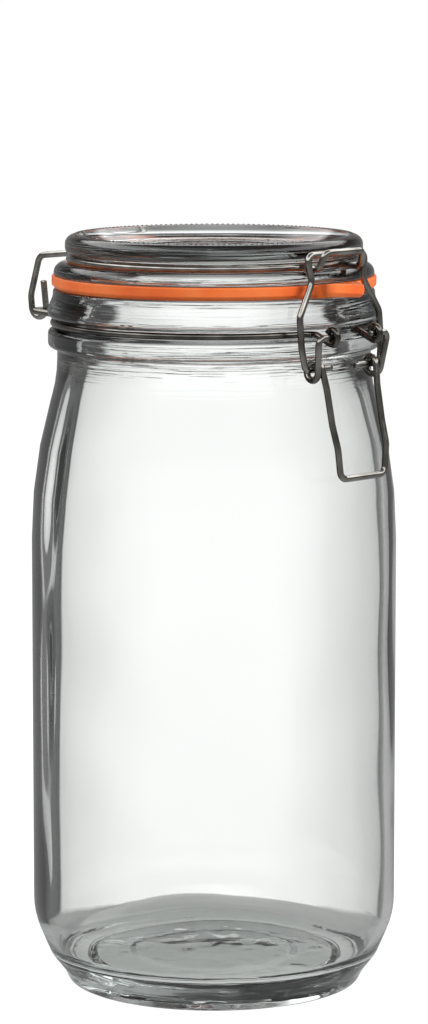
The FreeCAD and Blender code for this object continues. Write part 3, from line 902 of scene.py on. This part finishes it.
@dataclass
class Seal:
    """The flat rubber ring, bevelled underneath, with a pull tab in front that is bent a little."""

    places: Places
    inner_radius: float = 41.3
    outer_radius: float = 49.6
    bevel: float = 1.2
    soft_edge: float = 0.4
    tab_half_width: float = 8.0
    tab_out: float = 6.2
    tab_corner: float = 2.6
    tab_root: float = 3.5
    tab_lift: float = 0.3
    tab_twist: float = 0.8
    share_steps: int = 5

    def edge_line(self) -> np.ndarray:
        """The outer edge in plan, once round from the middle of the tab's end.

        Returns:
            Points (x, y) of the edge, closed without repeating the first.
        """
        end = -(self.outer_radius + self.tab_out)
        side = self.tab_half_width
        root_x = side + self.tab_root
        root = (root_x, -math.sqrt(self.outer_radius**2 - root_x**2))
        half = rounded_line([
            ((0, end), 0),
            ((side, end), self.tab_corner),
            ((side, -math.sqrt(self.outer_radius**2 - side**2) - 0.4), 2.2),
            (root, 0),
        ], 6.0)
        start = math.atan2(root[1], root[0])
        turn = np.linspace(start, math.pi / 2, 150)[1:]
        ring = self.outer_radius * np.stack([np.cos(turn), np.sin(turn)], axis=-1)
        right = np.concatenate([subdivided(half, 0.8), ring])
        left = right[1:-1][::-1] * np.array([-1.0, 1.0])
        return np.concatenate([right, left])

    def section(self) -> np.ndarray:
        """The ring's section, once round from the inner edge's foot.

        Returns:
            Rows of a share of the way out, millimetres inward of the outer edge, and a height.
        """
        low, high = self.places.seal_bottom, self.places.seal_top
        edge = rounded_line([
            ((self.bevel + 1.0, low), 0),
            ((self.bevel, low), 0.3),
            ((0, low + self.bevel), 0.5),
            ((0, high), self.soft_edge),
            ((self.bevel, high), 0),
        ], 15.0)
        under = [(share, 0.0, low) for share in np.linspace(0, 0.8, self.share_steps)]
        outer = [(1.0, inward, height) for inward, height in edge]
        over = [(share, 0.0, high) for share in np.linspace(0.8, 0, self.share_steps)]
        return np.array(under + outer + over)

    def build(self, rubber: bpy.types.Material) -> None:
        """Make the seal in place of its CAD node.

        The grid's rows follow the outer edge in plan and its columns follow the section. In plan a
        point is inner * (1 - s) + outer * s, less its own distance inward. The tab is lifted by
        (lift - twist * x / half width) * u squared, where u grows from the ring to the tab's end.
        """
        outer = self.edge_line()
        inner = outer / np.linalg.norm(outer, axis=1)[:, None] * self.inner_radius
        share, inward, height = self.section().T
        span = outer - inner
        length = np.linalg.norm(span, axis=1)[:, None]
        plan = inner[:, None, :] + (span / length)[:, None, :] * (length * share - inward)[..., None]
        out = np.clip((-plan[..., 1] - self.outer_radius + 1.5) / (self.tab_out + 1.5), 0, 1)
        sideways = np.clip(plan[..., 0] / self.tab_half_width, -1, 1)
        bend = (self.tab_lift - self.tab_twist * sideways) * out ** 2
        vertices = np.concatenate([plan, (height + bend)[..., None]], axis=-1)
        rows, columns = vertices.shape[:2]
        piece = make_object("rubber_seal", vertices.reshape(-1, 3), [grid_faces(rows, columns, True)])
        finish_piece(piece, rubber, Body.LID, "gasket")


# ---- The wires ----

WIRE_RADIUS = 1.0
SNUG = 0.1          # the gap between a wire and what it fits round
RING_BEND = 2.5     # radius of the bend from a ring into its arm
PLAN = ([1, 0, 0], [0, 1, 0])


def ring_with_arms(ring_radius: float, z: float, rear_x: float, front_x: float) -> np.ndarray:
    """Half a ring that bends outward into an arm behind and in front.

    Each bend is an arc whose centre lies one bend radius outside the ring and beside the arm.

    Args:
        ring_radius: Radius of the ring's middle line.
        z: Its height.
        rear_x: The rear arm's distance from the middle plane.
        front_x: The front arm's distance from it.

    Returns:
        Points from the rear arm's start round the +X side to the front arm's start.
    """
    bends, turns = [], []
    for arm_x, side in ((rear_x, 1), (front_x, -1)):
        centre_x = arm_x + RING_BEND
        centre_y = side * math.sqrt((ring_radius + RING_BEND) ** 2 - centre_x ** 2)
        to_ring = math.atan2(-centre_y, -centre_x) % (2 * math.pi)
        bends.append(circle_part([centre_x, centre_y, z], RING_BEND, math.pi, to_ring, PLAN, 12))
        turns.append(math.atan2(centre_y, centre_x))
    ring = circle_part([0, 0, z], ring_radius, turns[0], turns[1], PLAN, 160)
    return np.concatenate([bends[0], ring[1:-1], bends[1][::-1]])


@dataclass
class Wire:
    """A bent steel wire that is alike on both sides. Each kind gives half of its middle line."""

    places: Places
    piece_name: ClassVar[str]
    node: ClassVar[str]
    slot: ClassVar[str]
    body: ClassVar[Body]

    def half_path(self) -> np.ndarray:
        """Middle line from the plane x = 0 to the wire's end on the +X side."""
        raise NotImplementedError

    def build(self, steel: bpy.types.Material) -> None:
        """Make the wire in place of its CAD node."""
        piece = bent_tube(self.piece_name, mirrored_path(self.half_path()), WIRE_RADIUS)
        finish_piece(piece, steel, self.body, self.node)


@dataclass
class NeckWire(Wire):
    """Ring in the jar's groove, drawn out into the hinge bar behind and two open eyes in front."""

    piece_name = "neck_ring_wire"
    node = "neck_wire"
    slot = "ring_wire"
    body = Body.JAR
    arm_x: float = 18.2
    eye_x: float = 9.3
    eye_turn: float = 262.0

    def half_path(self) -> np.ndarray:
        """Middle line from the hinge bar's middle to the end of the +X eye."""
        z = self.places.rim - self.places.groove_below_rim
        ring_radius = self.places.neck_radius + SNUG + WIRE_RADIUS
        ring = ring_with_arms(ring_radius, z, self.arm_x, self.eye_x)
        rear_arm, front_arm = ring[0], ring[-1]
        _, hinge_y, hinge_z = self.places.hinge
        rear = rounded_line([
            ((0, hinge_y, hinge_z), 0),
            ((self.arm_x, hinge_y, hinge_z), 2.2),
            ((self.arm_x, rear_arm[1] + 2.0, z), 6.0),
            (rear_arm, 0),
        ])
        eye = (-self.places.eye[1], self.places.eye[2])
        knee = (-front_arm[1] + 0.9, z)
        radius = 2 * WIRE_RADIUS + SNUG
        touch = tangent_angle(eye, radius, knee, 1)
        curl = circle_part([self.eye_x, -eye[0], eye[1]], radius, touch,
                           touch + math.radians(self.eye_turn), ([0, -1, 0], [0, 0, 1]), 48)
        front = rounded_line([
            (front_arm, 0), ((self.eye_x, -knee[0], knee[1]), 3.0), (curl[0], 0)])
        return np.concatenate([rear, ring, front, curl[1:]])


@dataclass
class LidWire(Wire):
    """Ring in the lid's waist, bent up in front into the catch lip and down behind into two hooks."""

    piece_name = "lid_ring_wire"
    node = "lid_wire"
    slot = "ring_wire"
    body = Body.LID
    lip_x: float = 9.2
    lip_top_x: float = 8.2
    lip_foot_out: float = 3.9
    lip_top_out: float = 5.6
    lip_height: float = 4.8
    hook_x: float = 15.0
    hook_radius: float = 3.2
    hook_tail: float = 8.1
    hook_tail_lean: float = 7.5

    def half_path(self) -> np.ndarray:
        """Middle line from the lip's middle to the tail of the +X hook."""
        z = self.places.lid_bottom + self.places.lid_disc_height + SNUG + WIRE_RADIUS
        neck = self.places.neck_radius
        radius = neck - self.places.lid_waist_in + SNUG + WIRE_RADIUS
        ring = ring_with_arms(radius, z, self.hook_x, self.lip_x)
        rear_arm, front_arm = ring[0], ring[-1]
        top_y = -(neck + self.lip_top_out)
        front = rounded_line([
            ((0, top_y, z + self.lip_height), 0),
            ((self.lip_top_x, top_y, z + self.lip_height), 2.2),
            ((self.lip_x, -(neck + self.lip_foot_out), z), 2.0),
            (front_arm, 0),
        ])
        _, hinge_y, hinge_z = self.places.hinge
        hook_z = hinge_z - 2 * WIRE_RADIUS - SNUG + self.hook_radius
        leg = (hinge_y + self.hook_radius + 0.4, hook_z + 3.4)
        touch = tangent_angle((hinge_y, hook_z), self.hook_radius, leg, -1)
        lean = math.radians(self.hook_tail_lean)
        hook = circle_part([self.hook_x, hinge_y, hook_z], self.hook_radius, touch, -math.pi - lean,
                           ([0, 1, 0], [0, 0, 1]), 40)
        tail = hook[-1] + np.array([0, math.sin(lean), math.cos(lean)]) * self.hook_tail
        rear = rounded_line([
            (rear_arm, 0),
            ((self.hook_x, rear_arm[1] + 2.0, z), 6.0),
            ((self.hook_x, hinge_y - 0.4, z - 1.7), 3.4),
            ((self.hook_x, *leg), 6.0),
            (hook[0], 0),
        ])
        return np.concatenate([front, ring[::-1], rear, hook[1:], tail[None, :]])


@dataclass
class Bail(Wire):
    """The loop that the lever pulls down: bar under the lip, flared legs and two pins turned inward."""

    piece_name = "bail_wire"
    node = "bail"
    slot = "latch_wire"
    body = Body.BAIL
    bar_out: float = 50.3
    bar_over_pin: float = 33.5
    leg_x: float = 17.45
    waist_x: float = 11.1
    waist_down: float = 7.8
    flare_down: float = 17.9
    flare_up: float = 6.3
    top_x: float = 12.9
    pin_x: float = 16.4
    tip_x: float = 5.2

    def half_path(self) -> np.ndarray:
        """Middle line from the bar's middle to the tip of the +X pin."""
        pin = (-self.places.pin[1], self.places.pin[2])
        bar = (self.bar_out, pin[1] + self.bar_over_pin)

        def on_leg(x: float, z: float) -> tuple[float, float, float]:
            """The point of a leg at a height, on the line from bar to pin."""
            share = (bar[1] - z) / (bar[1] - pin[1])
            return x, -(bar[0] + share * (pin[0] - bar[0])), z

        return rounded_line([
            ((0, -bar[0], bar[1]), 0),
            ((self.top_x, -bar[0], bar[1]), 2.2),
            (on_leg(self.waist_x, bar[1] - self.waist_down), 4.0),
            (on_leg(self.leg_x, bar[1] - self.flare_down), 4.0),
            (on_leg(self.leg_x, pin[1] + self.flare_up), 6.0),
            ((self.pin_x, -pin[0], pin[1]), 1.6),
            ((self.tip_x, -pin[0], pin[1]), 0),
        ])


@dataclass
class Lever(Wire):
    """The handle loop: bottom bar, long arms, a coil round each pin and two tips in the eyes."""

    piece_name = "lever_wire"
    node = "lever"
    slot = "latch_wire"
    body = Body.LEVER
    shoulder_radius: Callable[[float], float]
    coil_spare: float = 0.65
    coil_pitch: float = 2.1
    arm_x: float = 15.2
    tip_x: float = 7.0
    half_width: float = 10.95
    length: float = 41.9
    knee_up: tuple[float, float] = (9.0, 16.0)
    knee_gap: tuple[float, float] = (8.7, 8.4)
    bar_gap: float = 7.3

    def half_path(self) -> np.ndarray:
        """Middle line from the bottom bar's middle, up the +X arm and round its coil to the tip."""
        pin = (-self.places.pin[1], self.places.pin[2])
        eye = (-self.places.eye[1], self.places.eye[2])
        radius = 2 * WIRE_RADIUS + self.coil_spare
        centre = (pin[0], pin[1] - self.coil_spare + SNUG)
        bottom = eye[1] - self.length
        bar_out = self.shoulder_radius(bottom) + self.bar_gap
        low_knee, knee = [(self.shoulder_radius(bottom + up) + gap, bottom + up)
                          for up, gap in zip(self.knee_up, self.knee_gap)]
        start = tangent_angle(centre, radius, knee, 1)
        end = tangent_angle(centre, radius, eye, -1) + 2 * math.pi
        lean = self.coil_pitch / (radius * 2 * math.pi)
        short_arm = math.sqrt((eye[0] - centre[0])**2 + (eye[1] - centre[1])**2 - radius**2)
        end_x = self.arm_x - lean * short_arm
        angle = np.linspace(start, end, 64)
        coil = np.stack([end_x - lean * radius * (end - angle), -(centre[0] + radius * np.cos(angle)),
                         centre[1] + radius * np.sin(angle)], axis=-1)
        leave = np.array([-lean, -math.sin(start), -math.cos(start)])
        below = rounded_line([
            ((0, -bar_out, bottom), 0),
            ((self.half_width - 1.3, -bar_out, bottom), 2.6),
            ((self.half_width - 0.3, -low_knee[0], low_knee[1]), 6.0),
            ((self.half_width, -knee[0], knee[1]), 10.0),
            (coil[0] + leave * 6.0, 12.0),
            (coil[0], 0),
        ])
        above = rounded_line([
            (coil[-1], 0),
            ((self.arm_x, -eye[0], eye[1]), 2.0),
            ((self.tip_x, -eye[0], eye[1]), 0),
        ])
        return np.concatenate([below, coil[1:-1], above])


# ---- The studio ----

@dataclass(frozen=True)
class MattPaper(Finish):
    """The studio's floor: white to the camera, with the jar's shadow on it.

    Away from the jar, gloss and glass look through it at the room below the horizon, so that they
    show the backdrop and its dark flags all the way down. Only the camera sees the paper's white glow.
    Under the jar every other ray sees a painted pool of light: a weaker glow that fades out between
    38 and 56 mm from the axis.
    """

    shade: float = 0.45
    glow: float = 0.74
    # Painted pool of light under the jar: its strength, where it starts to fade and where it ends.
    painted_pool_glow: float = 0.42
    painted_pool_full_mm: float = 38.0
    painted_pool_edge_mm: float = 56.0
    clear_from_mm: float = 93.0
    clear_at_mm: float = 101.0
    tooth_mm: float = 1000 / 900
    tooth_depth_mm: float = 0.05

    def shaders(self, nodes: Nodes) -> Shaders:
        """Paper that glows for the camera, has a painted pool of light under the jar, and clears away
        from it.
        """
        place = nodes.place()
        path = nodes.add("LightPath").outputs
        away = nodes.add("VectorMath", {"operation": "LENGTH"}, i0=place).outputs["Value"]
        tooth = nodes.noise(place, 1 / (self.tooth_mm * MM), 2.0)
        paper = nodes.new("BsdfDiffuse", Color=grey(self.shade),
                          Normal=nodes.bump(tooth, self.tooth_depth_mm, 0.05))
        # Painted pool of light: a glow under the jar, seen by every ray but the camera's, for light that
        # the glass gathers there.
        painted_pool = nodes.mapped(away, self.painted_pool_full_mm * MM, self.painted_pool_edge_mm * MM,
                                self.painted_pool_glow, 0.0)
        seen = nodes.math("MAXIMUM", path["Is Camera Ray"], painted_pool)
        glow = nodes.new("Emission", Color=grey(self.glow), Strength=seen)
        pale = nodes.new("AddShader", i0=paper, i1=glow)
        mirrored = nodes.math("MAXIMUM", path["Is Transmission Ray"], path["Is Glossy Ray"])
        far = nodes.mapped(away, self.clear_from_mm * MM, self.clear_at_mm * MM)
        hole = nodes.new("BsdfTransparent")
        surface = nodes.new("MixShader", i0=nodes.math("MULTIPLY", far, mirrored),
                            i1=pale, i2=hole)
        return surface, None


@dataclass
class Studio:
    """Pale floor, white backdrop with upright flags, a dim room for gloss, two lamps and the camera."""

    azimuth: float = -46.0
    distance: float = 1256.0
    height: float = 323.8
    pitch: float = 8.055
    sensor: float = 36.0
    lens: float = 144.84375
    clip_m: tuple[float, float] = (0.05, 100.0)
    floor_half: float = 30000.0
    room_light: float = 0.62
    flags: int = 8
    flag_shade: float = 0.04
    pale_flag_shade: float = 0.5
    flag_shift: float = 2.5
    lamp_target: float = 130.0
    lamp_stretch: float = 1.6

    def add_camera(self) -> None:
        """Stand the camera in front of the latch's left side, looking a little down."""
        turn = math.radians(self.azimuth)
        data = bpy.data.cameras.new("camera")
        data.sensor_width = self.sensor
        data.lens = self.lens
        data.clip_start, data.clip_end = self.clip_m
        camera = bpy.data.objects.new("camera", data)
        reach = self.distance * MM
        camera.location = (reach * math.sin(turn), -reach * math.cos(turn), self.height * MM)
        camera.rotation_euler = (math.radians(90 - self.pitch), 0.0, turn)
        bpy.context.scene.collection.objects.link(camera)
        bpy.context.scene.camera = camera

    def add_floor(self) -> None:
        """A wide floor of pale paper."""
        half = self.floor_half
        corners = np.array([[-half, -half, 0], [half, -half, 0], [half, half, 0], [-half, half, 0]])
        floor = make_object("floor", corners, [np.array([[0, 1, 2, 3]])], smooth=False)
        floor.data.materials.append(MattPaper("matt_white_paper_with_painted_pool").material())

    def add_world(self) -> None:
        """White to the camera, plain for lighting, and rooms for what glass and gloss show.

        Straight through the glass lies a white backdrop with eight upright flags, so that every
        side of the object is seen before white between two flags. Those behind the front view are
        black and the others are grey. Gloss shows a dim room with a bright ceiling. What the glass
        mirrors inside itself is a room of that kind, shaded on one side.
        """
        world = bpy.data.worlds.new("studio")
        bpy.context.scene.world = world
        world.use_nodes = True
        world.node_tree.nodes.clear()
        nodes = Nodes(world.node_tree)
        way = nodes.add("TexCoord").outputs["Generated"]
        split = nodes.add("SeparateXYZ", Vector=way).outputs
        path = nodes.add("LightPath").outputs
        level = nodes.mapped(split["Z"], -1.0, 1.0)
        around = nodes.math("ARCTAN2", split["Y"], split["X"])

        def round_pattern(count: int, start: float, stops: Sequence[tuple]) -> Socket:
            """A pattern that repeats round the horizon, from the angle of one repeat in degrees.

            A ramp is read at (1 + cos(count * (angle - start))) / 2, so its end lies on each repeat
            and its beginning half way between two.
            """
            turned = nodes.math("MULTIPLY_ADD", around, float(count),
                                math.radians(count * (90 - start)))
            return nodes.grey_ramp(nodes.mapped(nodes.math("COSINE", turned), -1.0, 1.0), stops)

        black, pale = self.flag_shade, self.pale_flag_shade
        backdrop = nodes.grey_ramp(level, [
            (0.0, 0.35), (0.25, 0.25), (0.36, 0.9), (0.42, 1.0), (0.60, 1.0), (0.69, 0.2),
            (0.77, 0.08), (0.82, 1.0), (0.92, 1.0), (0.97, 0.15)])
        middle = round_pattern(self.flags, self.azimuth, [
            (0.0, 0.80), (0.70, 0.84), (0.90, 0.98), (0.99, 1.16)])
        flags = round_pattern(self.flags, self.azimuth - self.flag_shift, [
            (0.0, black), (0.24, black), (0.40, 1.0)])
        paler = round_pattern(1, self.azimuth + 180, [(0.0, pale), (0.88, pale), (0.90, 0.0)])
        lit_paper = nodes.mixed(1.0, backdrop, middle, "MULTIPLY")
        through = nodes.mixed(1.0, lit_paper, nodes.mixed(1.0, flags, paler, "LIGHTEN"), "MULTIPLY")
        dim_room = nodes.grey_ramp(level, [
            (0.0, 0.45), (0.30, 0.42), (0.45, 0.30), (0.56, 0.24), (0.70, 0.08), (0.75, 2.6),
            (0.86, 2.6), (0.92, 0.3)])
        light_room = nodes.grey_ramp(level, [
            (0.0, 0.35), (0.30, 0.30), (0.42, 0.52), (0.58, 0.50), (0.66, 0.05), (0.75, 0.04),
            (0.78, 1.9), (0.88, 1.9), (0.93, 0.3)])
        side_panel = round_pattern(1, self.azimuth + 240, [(0.0, 1.0), (0.60, 1.0), (0.82, 0.05)])
        inside_view = nodes.mixed(1.0, light_room, side_panel, "MULTIPLY")
        inner = nodes.math("MINIMUM", path["Glossy Depth"], 1.0)
        glass_view = nodes.mixed(inner, through, inside_view)
        lit = nodes.mixed(path["Is Camera Ray"], grey(self.room_light), grey(1.0))
        dry = nodes.mixed(path["Is Glossy Ray"], lit, dim_room)
        shown = nodes.mixed(path["Is Transmission Ray"], dry, glass_view)
        light = nodes.new("Background", Color=shown, Strength=1.0)
        nodes.link(light, nodes.add("OutputWorld").inputs["Surface"])

    def add_lamp(self, name: str, turn: float, rise: float, reach: float, size: float,
                 power: float) -> None:
        """A soft lamp that points at the jar's middle and isn't mirrored.

        Args:
            name: The lamp's name.
            turn: Degrees round from the camera, towards +X.
            rise: Degrees over the floor.
            reach: Its distance in millimetres.
            size: Its width in millimetres.
            power: Its power in watts.
        """
        data = bpy.data.lights.new(name, "AREA")
        data.shape = "RECTANGLE"
        data.size = size * MM
        data.size_y = size * MM * self.lamp_stretch
        data.energy = power
        lamp = bpy.data.objects.new(name, data)
        azimuth, elevation = math.radians(self.azimuth + turn), math.radians(rise)
        out, up = reach * math.cos(elevation), reach * math.sin(elevation)
        place = (out * math.sin(azimuth), -out * math.cos(azimuth), self.lamp_target + up)
        lamp.location = np.array(place) * MM
        lamp.rotation_euler = (math.radians(90) - elevation, 0.0, azimuth)
        lamp.visible_glossy = False
        lamp.visible_transmission = False
        bpy.context.scene.collection.objects.link(lamp)

    def build(self) -> None:
        """Set up camera, floor, surroundings and lamps."""
        self.add_camera()
        self.add_floor()
        self.add_world()
        self.add_lamp("key", turn=62, rise=28, reach=1100, size=380, power=9.0)
        self.add_lamp("fill", turn=-70, rise=22, reach=1200, size=420, power=5.0)
        bpy.context.scene.view_settings.view_transform = "Standard"


def main() -> None:
    """Build the studio and every piece of the jar."""
    logging.basicConfig(level=logging.INFO, format="%(message)s")
    Studio().build()
    places = Places.read()
    neck_from = places.rim - Jar.neck_corner_below_rim
    jar_glass = SodaLimeGlass("blown_soda_lime_glass", waves_mm=38.0, wave_height_mm=0.22,
                              density_per_m=7.0, streaks_from_mm=neck_from,
                              crackle_below_mm=16.0).material()
    lid_glass = SodaLimeGlass("pressed_soda_lime_glass", waves_mm=16.0, wave_height_mm=0.08,
                              density_per_m=14.0, streaks_from_mm=neck_from).material()
    painted_dark_stipple_glass = StippledGlass("punched_soda_lime_glass_painted_dark").material()
    # The neck ring's steel is a darker copy of the lid and latch steel: painted shade for the groove
    # under the rim where the ring lies.
    painted_shade_ring_steel = DrawnSteel("drawn_steel_neck_ring_wire_painted_shade", "#7E7B76", "#4E4C48").material()
    lid_steel = DrawnSteel("drawn_steel_lid_ring_wire", "#A9A6A0", "#7B7872").material()
    latch_steel = DrawnSteel("drawn_steel_latch_wire", "#A5A29C", "#78756F").material()
    rubber = MouldedRubber("moulded_orange_rubber").material()
    jar = Jar(places)
    jar.build(jar_glass)
    Lid(places).build(lid_glass, painted_dark_stipple_glass)
    Seal(places).build(rubber)
    NeckWire(places).build(painted_shade_ring_steel)
    LidWire(places).build(lid_steel)
    Bail(places).build(latch_steel)
    Lever(places, jar.shoulder_radius).build(latch_steel)


if __name__ == "__main__":
    main()
